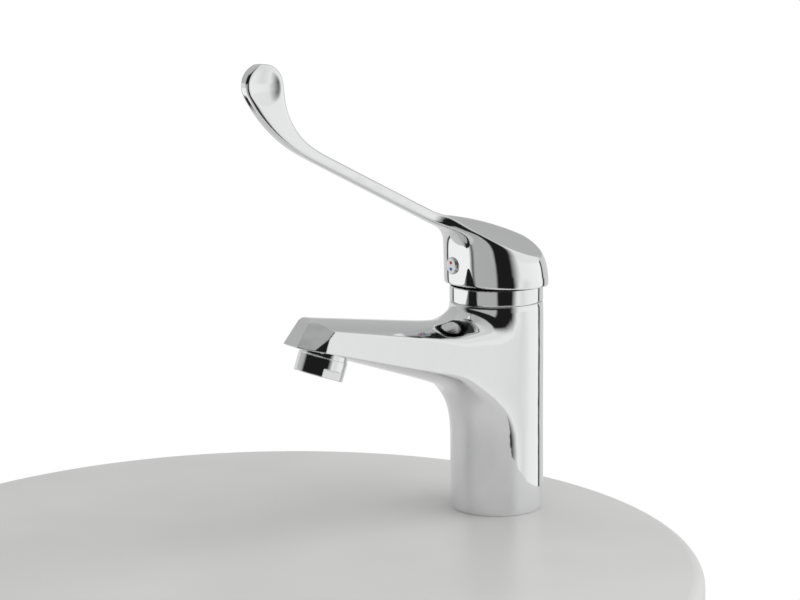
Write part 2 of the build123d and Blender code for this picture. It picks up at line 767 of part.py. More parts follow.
# Handle: the arm on edge in the middle plane
with BuildPart() as arm:
    with BuildSketch(Plane.YZ.offset(-arm_thickness / 2)):
        with BuildLine():
            Line(lower_root, lower_bend)
            ThreePointArc(lower_bend, lower_middle, lower_touch)
            ThreePointArc(lower_touch, end_top, upper_touch)
            ThreePointArc(upper_touch, upper_middle, upper_bend)
            Line(upper_bend, upper_root)
            Line(upper_root, lower_root)
        make_face()
    extrude(amount=arm_thickness)
    long_edges = [
        edge for edge in arm.edges()
        if abs(abs(edge.center().X) - arm_thickness / 2) < thread_gap and edge.center().Y < -arm_root_reach
    ]
    fillet(long_edges, arm_fillet)
    dimple_ball = (dimple_radius ** 2 + dimple_depth ** 2) / (2 * dimple_depth)
    for side in (-1, 1):
        ball_centre = side * (arm_thickness / 2 - dimple_depth + dimple_ball)
        ball_turn = (0, 0, (1 - side) * half_turn / 2)
        with Locations((ball_centre, end_centre.X, end_centre.Y)):
            Sphere(dimple_ball, rotation=ball_turn, mode=Mode.SUBTRACT)

# Roof over the hub: a ridged section that follows the ridge line from front to back
with BuildPart() as roof:
    with BuildLine(Plane.YZ) as ridge:
        ThreePointArc((-roof_front, roof_front_height), (0, roof_ridge_height), (roof_back, roof_back_height))
    roof_drop = roof_half_width * tan(radians(roof_slope))
    with BuildSketch(Plane(origin=ridge.line @ 0, x_dir=(1, 0, 0), z_dir=ridge.line % 0)):
        with BuildLine():
            FilletPolyline(
                (-roof_half_width, roof_drop),
                (0, 0),
                (roof_half_width, roof_drop),
                radius=roof_ridge_fillet,
            )
            Polyline(
                (roof_half_width, roof_drop),
                (roof_half_width, roof_drop + body_radius),
                (-roof_half_width, roof_drop + body_radius),
                (-roof_half_width, roof_drop),
            )
        make_face()
    sweep()

# Handle: hub, arm, cavity for the collar, block for the spindle and boss for the set screw
with BuildPart() as lever_handle:
    for hub_height, hub_offset, hub_radius in zip(hub_heights, hub_offsets, hub_radii):
        with BuildSketch(Plane.XY.offset(hub_height)):
            with Locations((0, -hub_offset)):
                Circle(hub_radius)
    loft()
    rim_normal = (0, sin(radians(rim_tilt)), cos(radians(rim_tilt)))
    rim_plane = Plane(origin=(0, 0, rim_height), x_dir=(1, 0, 0), z_dir=rim_normal)
    split(bisect_by=rim_plane, keep=Keep.TOP)
    fillet(lever_handle.faces().sort_by(Axis.Z)[0].edges(), rim_fillet)
    add(roof.part, mode=Mode.INTERSECT)
    with BuildSketch(Plane.XY.offset(rim_height - hub_bore_radius)):
        Circle(hub_bore_radius)
    extrude(amount=hub_bore_top - rim_height + hub_bore_radius, mode=Mode.SUBTRACT)
    with BuildSketch(Plane.XY.offset(hub_bore_top)):
        Circle(hub_dome_radius)
    extrude(amount=hub_dome_top - hub_bore_top, mode=Mode.SUBTRACT)
    add(arm.part)
    with BuildSketch(Plane.XY.offset(block_foot)):
        with Locations((0, (block_back - block_front) / 2)):
            Rectangle(2 * block_half_width, block_back + block_front)
    extrude(amount=hub_dome_top - block_foot + overrun)
    boss_length = button_seat - block_front + overrun
    with BuildSketch(Plane.XZ.offset(block_front - overrun)):
        with Locations((0, screw_height)):
            Circle(screw_boss_radius)
    extrude(amount=boss_length)
    with BuildSketch(Plane.XY.offset(block_foot)):
        Rectangle(spindle_width + 2 * thread_gap, spindle_depth + 2 * thread_gap)
    extrude(amount=spindle_top + easy_gap - block_foot, mode=Mode.SUBTRACT)
    with BuildSketch(Plane.XZ.offset(spindle_depth / 2)):
        with Locations((0, screw_height)):
            Circle(screw_radius + thread_gap)
    extrude(amount=screw_length, mode=Mode.SUBTRACT)
    with BuildSketch(Plane.XZ.offset(spindle_depth / 2 + screw_length)):
        with Locations((0, screw_height)):
            Circle(screw_bore_radius)
    extrude(amount=button_seat - spindle_depth / 2 - screw_length, mode=Mode.SUBTRACT)
    with BuildSketch(Plane.XZ.offset(button_seat)):
        with Locations((0, screw_height)):
            Circle(button_radius + thread_gap)
    extrude(amount=hub_radii[0], mode=Mode.SUBTRACT)
keep(lever_handle, "lever_handle")

# Set screw, tight on the spindle
with BuildPart() as set_screw:
    with BuildSketch(Plane.XZ.offset(spindle_depth / 2)):
        with Locations((0, screw_height)):
            Circle(screw_radius)
    extrude(amount=screw_length)
    with BuildSketch(Plane.XZ.offset(spindle_depth / 2 + screw_length - screw_socket_depth)):
        with Locations((0, screw_height)):
            RegularPolygon(screw_socket_flats / 2, 6, major_radius=False)
    extrude(amount=screw_socket_depth, mode=Mode.SUBTRACT)
keep(set_screw, "set_screw")


def mark(side, radius_gap):
    # A small rounded bar on the button's face, above or below its middle.
    with BuildPart() as piece:
        with BuildSketch(Plane.XZ.offset(button_face - mark_depth)):
            with Locations((0, screw_height + side * mark_spread)):
                SlotOverall(mark_width + radius_gap, mark_height + radius_gap)
        extrude(amount=mark_depth)
    return piece


hot_mark = mark(1, 0)
cold_mark = mark(-1, 0)

# Indicator button that hides the set screw
with BuildPart() as indicator_button:
    with BuildSketch(Plane.XZ.offset(button_seat)):
        with Locations((0, screw_height)):
            Circle(button_radius)
    extrude(amount=button_face - button_seat)
    chamfer(indicator_button.faces().sort_by(Axis.Y)[0].edges(), button_edge)
    add(hot_mark.part, mode=Mode.SUBTRACT)
    add(cold_mark.part, mode=Mode.SUBTRACT)
keep(indicator_button, "indicator_button")
keep(hot_mark, "hot_mark")
keep(cold_mark, "cold_mark")
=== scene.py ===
import bpy
import bmesh
from math import atan2, copysign, cos, exp, pi, radians, sin, sqrt, tan
from mathutils import Matrix, Vector


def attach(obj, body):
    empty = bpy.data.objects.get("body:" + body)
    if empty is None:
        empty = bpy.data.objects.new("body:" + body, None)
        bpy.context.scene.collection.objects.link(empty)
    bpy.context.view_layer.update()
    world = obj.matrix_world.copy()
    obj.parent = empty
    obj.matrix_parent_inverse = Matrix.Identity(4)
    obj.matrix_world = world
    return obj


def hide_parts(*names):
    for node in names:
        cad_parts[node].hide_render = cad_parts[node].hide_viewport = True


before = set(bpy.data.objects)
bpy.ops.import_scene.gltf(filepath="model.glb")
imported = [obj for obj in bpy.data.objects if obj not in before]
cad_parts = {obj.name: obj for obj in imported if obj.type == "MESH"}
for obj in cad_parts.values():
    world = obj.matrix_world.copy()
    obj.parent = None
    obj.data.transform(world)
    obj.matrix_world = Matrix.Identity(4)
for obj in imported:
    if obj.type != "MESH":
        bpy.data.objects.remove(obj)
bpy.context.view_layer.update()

# Body: one brass casting, a round column and a wedge spout whose flat sides run on into it.
# It is ground, polished and plated with nickel and chrome, so it is a bright mirror with a
# trace of haze where it has been wiped. The cartridge drops into it from the top.
columns = 24
rounded = ("SUBSURF", {"levels": 3, "render_levels": 3})
half_turn = columns // 4
circle_gain = 3 / (2 + cos(2 * pi / columns))
column_radius = 0.0240
column_rows = (0.0, 0.0006, 0.008, 0.020, 0.034, 0.049, 0.060, 0.071, 0.082, 0.0925, 0.1070, 0.1079)
neck_front_height = 0.1060
edge_roll = 0.0005
spout_row, neck_row = 5, 9
spout_reach = 0.126
root_half_width, tip_half_width = 0.0240, 0.0146
root_heights = (0.0563, 0.0656, 0.0875, 0.0956)
tip_heights = (0.0994, 0.0997, 0.1089, 0.1125)
neck_round, neck_run = 0.0074, 0.0039
belly_round, belly_run = 0.0145, 0.0035
spout_steps = ((0.0275, 0.0), (0.033, 0.0), (0.043, 0.25), (0.056, 0.45), (0.074, 0.6),
               (0.096, 0.7), (0.118, 0.75), (0.130, 0.75))
aerator_spot = Vector((0.0, -0.1028, 0.0903))
aerator_tilt = radians(19.3)
aerator_bore_radius, aerator_bore_depth = 0.01193, 0.0076
drill_segments = 96
flat_tolerance = 0.00001
rim_margin, rim_reach = 0.001, 0.03
top_steps = ((0.01955, 0.1079), (0.01955, 0.0985), (0.01765, 0.0985), (0.01765, 0.0791))
foot_steps = ((0.0224, 0.0), (0.0224, 0.0018), (0.0196, 0.0018), (0.0196, 0.0), (0.0180, 0.0),
              (0.0180, 0.0299))
crease_angle = radians(35.0)
facet_corners = 12
soft_passes = 40
soft_spans = (0.034, 0.014)
chrome_tone = (0.90, 0.905, 0.91, 1.0)
chrome_clear, chrome_hazy = 0.018, 0.055
chrome_edge = 0.0009
wipe_scale = 38.0
orange_peel = 0.004


def kept(parts, kind):
    """The parts of one kind, vertices, edges or faces, out of what an operator gives back."""
    return [part for part in parts if isinstance(part, kind)]


def evaluated(edit, *modifiers):
    """A bmesh after modifiers, each given as its type and its settings."""
    mesh = bpy.data.meshes.new("work")
    edit.to_mesh(mesh)
    edit.free()
    piece = bpy.data.objects.new("work", mesh)
    bpy.context.scene.collection.objects.link(piece)
    for kind, settings in modifiers:
        modifier = piece.modifiers.new(kind.lower(), kind)
        for name, value in settings.items():
            setattr(modifier, name, value)
    result = bmesh.new()
    result.from_object(piece, bpy.context.evaluated_depsgraph_get())
    bpy.data.objects.remove(piece)
    bpy.data.meshes.remove(mesh)
    return result


def bored(edit, radius, depth, spot, tilt):
    """A bmesh with a round bore that runs from a spot up along a tilted axis."""
    drill = bmesh.new()
    bmesh.ops.create_cone(drill, cap_ends=True, segments=drill_segments, radius1=radius,
                          radius2=radius, depth=4 * depth)
    bmesh.ops.translate(drill, verts=drill.verts, vec=(0, 0, -depth))
    bmesh.ops.rotate(drill, verts=drill.verts, cent=(0, 0, 0),
                     matrix=Matrix.Rotation(-tilt, 3, "X"))
    bmesh.ops.translate(drill, verts=drill.verts, vec=spot)
    mesh = bpy.data.meshes.new("drill")
    drill.to_mesh(mesh)
    drill.free()
    tool = bpy.data.objects.new("drill", mesh)
    bpy.context.scene.collection.objects.link(tool)
    cut = {"operation": "DIFFERENCE", "solver": "EXACT", "object": tool}
    result = evaluated(edit, ("BOOLEAN", cut))
    bpy.data.objects.remove(tool)
    bpy.data.meshes.remove(mesh)
    return result


def lined(edit, rim_loop, steps, material_index):
    """Runs an open rim inwards through steps of radius and height, and closes it with a floor."""
    for radius, height in steps:
        grown = bmesh.ops.extrude_edge_only(edit, edges=rim_loop)["geom"]
        rim_loop = kept(grown, bmesh.types.BMEdge)
        for vertex in kept(grown, bmesh.types.BMVert):
            flat = Vector((vertex.co.x, vertex.co.y)).normalized() * radius
            vertex.co = (flat.x, flat.y, vertex.co.z if height is None else height)
        for face in kept(grown, bmesh.types.BMFace):
            face.material_index = material_index
    floor = kept(bmesh.ops.contextual_create(edit, geom=rim_loop)["faces"], bmesh.types.BMFace)
    for face in floor:
        face.material_index = material_index


def new_piece(name, edit, body, slot, *materials):
    """Turns a finished bmesh into a piece that moves with one body and takes the materials given;
    the slot is not used.
    """
    for edge in edit.edges:
        edge.smooth = len(edge.link_faces) == 2 and edge.calc_face_angle(0.0) < crease_angle
    mesh = bpy.data.meshes.new(name)
    edit.to_mesh(mesh)
    edit.free()
    for face in mesh.polygons:
        face.use_smooth = face.loop_total < facet_corners
    piece = bpy.data.objects.new(name, mesh)
    bpy.context.scene.collection.objects.link(piece)
    for material in materials:
        mesh.materials.append(material)
    if body:
        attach(piece, body)
    return piece


def spout_place(column, row, reach):
    """Where a vertex of the spout lies: on its crowned top or underside, or on a flat side."""
    share = reach / spout_reach
    belly, crease, shoulder, crest = (low + (high - low) * share
                                      for low, high in zip(root_heights, tip_heights))
    half_width = root_half_width + (tip_half_width - root_half_width) * share
    across_share = column / half_turn
    past_wall = reach - column_radius
    if row == neck_row:
        height = crest - (crest - shoulder) * across_share ** 2
        height += neck_round * exp(-past_wall / neck_run)
    elif row == spout_row:
        height = belly + (crease - belly) * across_share ** 2
        height -= belly_round * exp(-past_wall / belly_run)
    else:
        height = crease + (shoulder - crease) * (row - spout_row) / (neck_row - spout_row)
    return Vector((half_width * across_share, -reach, height))


cage = bmesh.new()
bmesh.ops.create_circle(cage, segments=columns, radius=column_radius)
column_of = cage.verts.layers.int.new("column")
row_of = cage.verts.layers.int.new("row")
crease_of = cage.edges.layers.float.new("crease_edge")
for step, vertex in enumerate(cage.verts):
    column = step if step <= columns // 2 else step - columns
    vertex[column_of] = column
    angle = 2 * pi * column / columns
    radius = (column_radius - edge_roll) * circle_gain
    vertex.co = (radius * sin(angle), -radius * cos(angle), column_rows[0])
loop = list(cage.edges)
for row, height in enumerate(column_rows[1:], 1):
    grown = bmesh.ops.extrude_edge_only(cage, edges=loop)["geom"]
    loop = kept(grown, bmesh.types.BMEdge)
    roll = edge_roll if row == len(column_rows) - 1 else 0.0
    for vertex in kept(grown, bmesh.types.BMVert):
        angle = 2 * pi * vertex[column_of] / columns
        radius = (column_radius - roll) * circle_gain
        forward = max(1 - (vertex[column_of] / half_turn) ** 2, 0.0) if row == neck_row else 0.0
        place_up = height + (neck_front_height - height) * forward
        vertex.co = (radius * sin(angle), -radius * cos(angle), place_up)
        vertex[row_of] = row
front = [face for face in cage.faces
         if all(abs(v[column_of]) <= half_turn and spout_row <= v[row_of] <= neck_row
                for v in face.verts)]
bmesh.ops.delete(cage, geom=front, context="FACES")
loop = [edge for edge in cage.edges
        if edge.is_boundary and all(spout_row <= v[row_of] <= neck_row for v in edge.verts)]
for reach, sharpness in spout_steps:
    grown = bmesh.ops.extrude_edge_only(cage, edges=loop)["geom"]
    loop = kept(grown, bmesh.types.BMEdge)
    for vertex in kept(grown, bmesh.types.BMVert):
        vertex.co = spout_place(vertex[column_of], vertex[row_of], reach)
        if abs(vertex[column_of]) == half_turn and vertex[row_of] in (spout_row, neck_row):
            for edge in vertex.link_edges:
                if edge not in loop:
                    edge[crease_of] = sharpness
bmesh.ops.recalc_face_normals(cage, faces=cage.faces)
casting = evaluated(cage, rounded)
corners = [Vector((side * column_radius, 0, column_rows[spout_row])) for side in (-1, 1)]
for polish in range(soft_passes):
    span = soft_spans[0] + (soft_spans[1] - soft_spans[0]) * polish / soft_passes
    patch = [vertex for vertex in casting.verts
             if min((vertex.co - spot).length for spot in corners) < span]
    bmesh.ops.smooth_vert(casting, verts=patch, factor=0.5, use_axis_x=True, use_axis_y=True,
                          use_axis_z=True)

# Nose: a front facet between two cheeks, all ground flat on the casting's end, with the edges
# over them rounded on the polishing wheel.
nose_foot = Vector((0.0, -0.1215, 0.0973))
nose_half_width = 0.0066
nose_lean, cheek_lean, cheek_turn = radians(35.3), radians(31.0), radians(44.2)
top_cut, side_cut = 0.0006, 0.0011
edge_cuts = ((0.0, radians(52.0), top_cut), (0.0, radians(71.0), top_cut),
             (-cheek_turn, radians(52.0), top_cut), (-cheek_turn, radians(71.0), top_cut),
             (cheek_turn, radians(52.0), top_cut), (cheek_turn, radians(71.0), top_cut),
             (radians(-66.0), radians(6.0), side_cut), (radians(66.0), radians(6.0), side_cut))


def leaned(turn, lean):
    """A direction turned sideways from straight ahead and leaned up."""
    return Vector((sin(turn) * cos(lean), -cos(turn) * cos(lean), sin(lean)))


def ground(edit, spot, normal):
    """Grinds everything beyond a plane away and leaves a flat face there."""
    bmesh.ops.bisect_plane(edit, geom=edit.verts[:] + edit.edges[:] + edit.faces[:], plane_co=spot,
                           plane_no=normal, clear_outer=True)
    rim = [edge for edge in edit.edges
           if edge.is_boundary and all(abs((v.co - spot).dot(normal)) < flat_tolerance
                                       for v in edge.verts)]
    bmesh.ops.contextual_create(edit, geom=rim)


ground(casting, nose_foot, leaned(0, nose_lean))
for side in (-1, 1):
    ground(casting, nose_foot + Vector((side * nose_half_width, 0, 0)),
           leaned(side * cheek_turn, cheek_lean))
beyond_wall = [vertex.co.copy() for vertex in casting.verts if vertex.co.y < -column_radius]
for turn, lean, depth in edge_cuts:
    normal = leaned(turn, lean)
    ground(casting, normal * (max(spot.dot(normal) for spot in beyond_wall) - depth), normal)
top_rim = [edge for edge in casting.edges
           if edge.is_boundary and all(v.co.z > column_rows[-1] - rim_margin
                                       and v.co.y > -rim_reach for v in edge.verts)]
lined(casting, top_rim, top_steps, 1)
foot_rim = [edge for edge in casting.edges if edge.is_boundary]
lined(casting, foot_rim, foot_steps, 1)
bmesh.ops.recalc_face_normals(casting, faces=casting.faces)
casting = bored(casting, aerator_bore_radius, aerator_bore_depth, aerator_spot, aerator_tilt)


def new_material(name):
    """An empty node material: the material, its nodes, its links and its shader."""
    material = bpy.data.materials.new(name)
    material.use_nodes = True
    tree = material.node_tree
    return material, tree.nodes, tree.links, tree.nodes["Principled BSDF"]


def noise(nodes, links, scale, detail, stretch=(1, 1, 1)):
    """Noise in the piece's own space, stretched along its axes, as a socket."""
    place = nodes.new("ShaderNodeTexCoord")
    mapping = nodes.new("ShaderNodeMapping")
    mapping.inputs["Scale"].default_value = stretch
    texture = nodes.new("ShaderNodeTexNoise")
    texture.inputs["Scale"].default_value = scale
    texture.inputs["Detail"].default_value = detail
    links.new(place.outputs["Object"], mapping.inputs["Vector"])
    links.new(mapping.outputs["Vector"], texture.inputs["Vector"])
    return texture.outputs["Fac"]


def spread(nodes, links, source, low, high):
    """A socket's middle values stretched over a range."""
    fit = nodes.new("ShaderNodeMapRange")
    fit.inputs["From Min"].default_value = 0.3
    fit.inputs["From Max"].default_value = 0.7
    fit.inputs["To Min"].default_value = low
    fit.inputs["To Max"].default_value = high
    links.new(source, fit.inputs["Value"])
    return fit.outputs["Result"]


def tint(nodes, links, source, dark, light):
    """A colour that drifts between two tones with a socket."""
    ramp = nodes.new("ShaderNodeValToRGB")
    ramp.color_ramp.elements[0].position = 0.35
    ramp.color_ramp.elements[1].position = 0.65
    ramp.color_ramp.elements[0].color = dark
    ramp.color_ramp.elements[1].color = light
    links.new(source, ramp.inputs["Fac"])
    return ramp.outputs["Color"]


def bumped(nodes, links, shader, source, strength, distance):
    """Surface relief from a socket."""
    bump = nodes.new("ShaderNodeBump")
    bump.inputs["Strength"].default_value = strength
    bump.inputs["Distance"].default_value = distance
    links.new(source, bump.inputs["Height"])
    links.new(bump.outputs["Normal"], shader.inputs["Normal"])
    return bump


def dress(material, *names):
    """Gives CAD nodes a finish of their own."""
    for name in names:
        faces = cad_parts[name].data
        faces.materials.clear()
        faces.materials.append(material)


chrome, nodes, links, shader = new_material("chrome_plate")
shader.inputs["Metallic"].default_value = 1.0
shader.inputs["Base Color"].default_value = chrome_tone
wiping = noise(nodes, links, wipe_scale, 4.0, stretch=(1, 1, 0.35))
links.new(spread(nodes, links, wiping, chrome_clear, chrome_hazy), shader.inputs["Roughness"])
relief = bumped(nodes, links, shader, noise(nodes, links, 120.0, 1.0), 0.02, orange_peel)
rounding = nodes.new("ShaderNodeBevel")
rounding.samples = 6
rounding.inputs["Radius"].default_value = chrome_edge
links.new(rounding.outputs["Normal"], relief.inputs["Normal"])
# Inside of the casting: dull, grainy unplated metal, tinted far darker than bare metal as painted
# shade in the bores and under the handle.
cast_inside_painted_shade, nodes, links, shader = new_material("cast_inside_painted_shade")
shader.inputs["Metallic"].default_value = 1.0
cast_grain = noise(nodes, links, 600.0, 4.0)
links.new(tint(nodes, links, cast_grain, (0.10, 0.098, 0.092, 1), (0.20, 0.195, 0.185, 1)),
          shader.inputs["Base Color"])
links.new(spread(nodes, links, cast_grain, 0.35, 0.6), shader.inputs["Roughness"])
bumped(nodes, links, shader, cast_grain, 0.3, 0.0002)
body_shell = new_piece("body_shell", casting, "tap_body", "chrome", chrome, cast_inside_painted_shade)
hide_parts("body")

# Black rubber: the base gasket seals the foot to the basin, the horseshoe gasket spreads the
# clamp under it, and smaller rings seal the aerator and the cartridge. All are moulded and dull.
rubber, nodes, links, shader = new_material("black_rubber")
grain = noise(nodes, links, 900.0, 3.0)
links.new(tint(nodes, links, grain, (0.022, 0.022, 0.023, 1), (0.04, 0.04, 0.041, 1)),
          shader.inputs["Base Color"])
links.new(spread(nodes, links, grain, 0.6, 0.8), shader.inputs["Roughness"])
bumped(nodes, links, shader, grain, 0.25, 0.0001)
dress(rubber, "base_gasket", "horseshoe_gasket", "aerator_washer", "port_seals", "guide_seal")

# Steel: the stud, the horseshoe plate and the set screw are zinc plated, and the cross pin and
# the mesh screen are stainless. They are drawn, pressed or woven, so they keep a fine grain.
steel, nodes, links, shader = new_material("plated_steel")
shader.inputs["Metallic"].default_value = 1.0
spangle = noise(nodes, links, 260.0, 5.0)
links.new(tint(nodes, links, spangle, (0.50, 0.50, 0.50, 1), (0.66, 0.66, 0.64, 1)),
          shader.inputs["Base Color"])
links.new(spread(nodes, links, spangle, 0.28, 0.46), shader.inputs["Roughness"])
bumped(nodes, links, shader, noise(nodes, links, 700.0, 2.0, stretch=(1, 1, 0.1)), 0.12, 0.0001)
dress(steel, "fixing_stud", "horseshoe_plate", "set_screw", "pivot_pin", "mesh_screen")

# Brass: the fixing nut, the cartridge's retaining nut and the lever's spindle are turned from
# bar and left plain, so fine rings from the tool run round them and they dull unevenly.
brass, nodes, links, shader = new_material("turned_brass")
shader.inputs["Metallic"].default_value = 1.0
tarnish = noise(nodes, links, 90.0, 4.0)
links.new(tint(nodes, links, tarnish, (0.60, 0.43, 0.17, 1), (0.78, 0.60, 0.29, 1)),
          shader.inputs["Base Color"])
links.new(spread(nodes, links, tarnish, 0.22, 0.42), shader.inputs["Roughness"])
bumped(nodes, links, shader, noise(nodes, links, 60.0, 1.0, stretch=(0.02, 0.02, 60)), 0.2, 0.0001)
dress(brass, "fixing_nut", "retaining_nut", "lever_spindle")

# Aerator: a chromed sleeve with two wrench flats screws up under the nose. Inside it a white cup
# of jets, a steel mesh and a grey grid lie on the sleeve's lip, below a rubber washer.


def plastic(name, dark, light, low, high):
    """Moulded plastic with a faint texture from its tool."""
    material, nodes, links, shader = new_material(name)
    grain = noise(nodes, links, 420.0, 3.0)
    links.new(tint(nodes, links, grain, dark, light), shader.inputs["Base Color"])
    links.new(spread(nodes, links, grain, low, high), shader.inputs["Roughness"])
    bumped(nodes, links, shader, grain, 0.1, 0.0001)
    return material


white_plastic = plastic("white_plastic", (0.76, 0.76, 0.73, 1), (0.84, 0.84, 0.81, 1), 0.38, 0.5)
grey_plastic = plastic("grey_plastic", (0.33, 0.34, 0.36, 1), (0.42, 0.43, 0.45, 1), 0.4, 0.55)
dress(chrome, "aerator_housing")
dress(white_plastic, "aerator_insert")
dress(grey_plastic, "flow_straightener")

# Cartridge: a moulded base and housing hold two lapped ceramic discs, and a carrier, a guide and
# the pin under the spindle move the upper disc. None of it shows once the tap is put together.
ceramic = plastic("lapped_ceramic", (0.84, 0.83, 0.79, 1), (0.91, 0.90, 0.87, 1), 0.12, 0.22)
dress(white_plastic, "cartridge_base", "cartridge_housing")
dress(grey_plastic, "spindle_guide", "disc_carrier")
dress(ceramic, "fixed_ceramic_disc", "moving_ceramic_disc")

# Trim collar: a plain chromed brass ring that drops over the retaining nut and fills the gap
# between the column and the handle.
dress(chrome, "trim_collar")

# Lever handle: one brass casting, ground and chromed. Its round hub clamps on the spindle and
# narrows like a horn into a long flat arm, and two facets slope down from the ridge on top.
# The arm ends in a round blade, on edge, with a shallow dimple pressed into each face.
rim_radius = 0.0266
rim_front_height = 0.1178
rim_back_height = 0.1153
rim_rolls = ((0.0013, 0.0), (0.0002, 0.0001), (0.0, 0.0012))
hub_sections = (
    (0.0267, 0.1230, -0.0263, 0.1215, 0.0265, 0.0),
    (0.0268, 0.1275, -0.0253, 0.1273, 0.0262, 0.0),
    (0.0269, 0.1318, -0.0226, 0.1326, 0.0256, 0.0),
    (0.0270, 0.1355, -0.0182, 0.1385, 0.0244, 0.0),
    (0.0273, 0.1386, -0.0105, 0.1448, 0.0222, 0.0),
    (0.0282, 0.1416, 0.0005, 0.1493, 0.0188, 0.0),
    (0.0299, 0.1442, 0.0120, 0.1524, 0.0143, 0.1),
    (0.0322, 0.1464, 0.0213, 0.1546, 0.0097, 0.3),
    (0.0352, 0.1483, 0.0300, 0.1560, 0.0060, 0.7),
)
arm_half_thickness = 0.0035
arm_depth = 0.0056
arm_corner = 0.0011
arm_slope = radians(27.2)
arm_root = Vector((0.026, 0.1433))
arm_starts = ((0.040, 0.0042), (0.048, 0.0037), (0.064, 0.0035), (0.082, 0.0035), (0.098, 0.0035))
lower_bend_reach = 0.1120
upper_bend_reach = 0.1042
blade_centre = Vector((0.1328, 0.2220))
blade_radius = 0.0102
bend_steps = 5
tip_steps = 7
ridge_height = 0.1463
ridge_rise = 0.34
ridge_sag = 3.06
ridge_round = 0.0042
facet_slope = tan(radians(30.0))
facet_fade = (0.024, 0.041)
facet_blend = 0.0009
dimple_radius = 0.0088
dimple_depth = 0.0013
dimple_blend = 0.0004
crest_blend = 0.002
arm_clearance = 0.0002
cavity_steps = ((0.0245, None), (0.0245, 0.1240), (0.0170, 0.1240), (0.0170, 0.1310),
                (0.0095, 0.1310), (0.0095, 0.1191), (0.0066, 0.1191), (0.0066, 0.1310))

along = Vector((cos(arm_slope), sin(arm_slope)))
across = Vector((-sin(arm_slope), cos(arm_slope)))
upper_root = arm_root + across * arm_depth


def bend_of(reach, root, side):
    """Start, centre and end of the arc between an edge of the arm and the blade's circle."""
    start = root + along * ((reach - root.x) / cos(arm_slope))
    gap = blade_centre - start
    radius = ((gap.length_squared - blade_radius ** 2)
              / (2 * (gap.dot(across) + side * blade_radius)))
    centre = start + across * radius
    return start, centre, blade_centre + (centre - blade_centre).normalized() * side * blade_radius


def turned(centre, start, end, share):
    """A point on an arc, a share of the way from its start to its end."""
    first, last = start - centre, end - centre
    turn = atan2(first.x * last.y - first.y * last.x, first.dot(last)) * share
    return centre + Vector((first.x * cos(turn) - first.y * sin(turn),
                            first.x * sin(turn) + first.y * cos(turn)))


def section(front, back, half_width, flatness):
    """A section's vertices, from round for the hub to a flat bar with blunt corners for the arm."""
    middle, reach = (front + back) / 2, (back - front) / 2
    long_corner = 1 - arm_corner / max(reach.length, 1.5 * arm_corner)
    wide_corner = 1 - arm_corner / half_width
    places = []
    for column in range(columns):
        angle = 2 * pi * (column + 0.5) / columns
        longer = max(abs(cos(angle)), abs(sin(angle)))
        bar_in, bar_out = cos(angle) / longer, sin(angle) / longer
        if 0.7 < abs(bar_in) < 1:
            bar_in = copysign(long_corner, bar_in)
        elif 0.7 < abs(bar_out) < 1:
            bar_out = copysign(wide_corner, bar_out)
        round_in, round_out = cos(angle) * circle_gain, sin(angle) * circle_gain
        share_in = round_in + (bar_in - round_in) * flatness
        share_out = round_out + (bar_out - round_out) * flatness
        place = middle - reach * share_in
        places.append(Vector((half_width * share_out, -place.x, place.y)))
    return places


def softer_of(first, second, blend):
    """The lower of two values, rounded where they meet."""
    near = max(blend - abs(first - second), 0.0) / blend
    return min(first, second) - near * near * blend / 4


def roof_height(out, reach):
    """How high the two facets let the handle rise, from its distance out and its reach forward."""
    ridge = ridge_height + ridge_rise * reach - ridge_sag * reach * reach
    arm_top = upper_root.y + tan(arm_slope) * (reach - upper_root.x) + arm_clearance
    share = min(max((reach - facet_fade[0]) / (facet_fade[1] - facet_fade[0]), 0.0), 1.0)
    slope = facet_slope * (1 - share * share * (3 - 2 * share))
    crest = -softer_of(-ridge, -arm_top, crest_blend)
    return crest - slope * (sqrt(out * out + ridge_round ** 2) - ridge_round)


rings = []
for inset, lift in rim_rolls:
    radius = rim_radius - inset
    front_rim = Vector((radius, rim_front_height + lift))
    back_rim = Vector((-radius, rim_back_height + lift))
    rings.append(section(front_rim, back_rim, radius, 0.0))
for front, front_height, back, back_height, half_width, flatness in hub_sections:
    rings.append(section(Vector((front, front_height)), Vector((back, back_height)), half_width,
                         flatness))
for start, half_width in arm_starts:
    lower = arm_root + along * ((start - arm_root.x) / cos(arm_slope))
    rings.append(section(lower, lower + across * arm_depth, half_width, 1.0))
lower_start, lower_centre, lower_touch = bend_of(lower_bend_reach, arm_root, -1)
upper_start, upper_centre, upper_touch = bend_of(upper_bend_reach, upper_root, 1)
for step in range(bend_steps + 1):
    share = step / bend_steps
    rings.append(section(turned(lower_centre, lower_start, lower_touch, share),
                         turned(upper_centre, upper_start, upper_touch, share),
                         arm_half_thickness, 1.0))
tip = blade_centre + (blade_centre - (lower_touch + upper_touch) / 2).normalized() * blade_radius
for step in range(1, tip_steps + 1):
    share = step / tip_steps
    rings.append(section(turned(blade_centre, lower_touch, tip, share),
                         turned(blade_centre, upper_touch, tip, share),
                         arm_half_thickness, 1.0))

cage = bmesh.new()
bmesh.ops.create_circle(cage, segments=columns, radius=rim_radius)
column_of = cage.verts.layers.int.new("column")
for column, vertex in enumerate(cage.verts):
    vertex[column_of] = column
    vertex.co = rings[0][column]
loop = list(cage.edges)
for ring in rings[1:]:
    grown = bmesh.ops.extrude_edge_only(cage, edges=loop)["geom"]
    loop = kept(grown, bmesh.types.BMEdge)
    for vertex in kept(grown, bmesh.types.BMVert):
        vertex.co = ring[vertex[column_of]]
bmesh.ops.remove_doubles(cage, verts=cage.verts, dist=flat_tolerance)
bmesh.ops.recalc_face_normals(cage, faces=cage.faces)

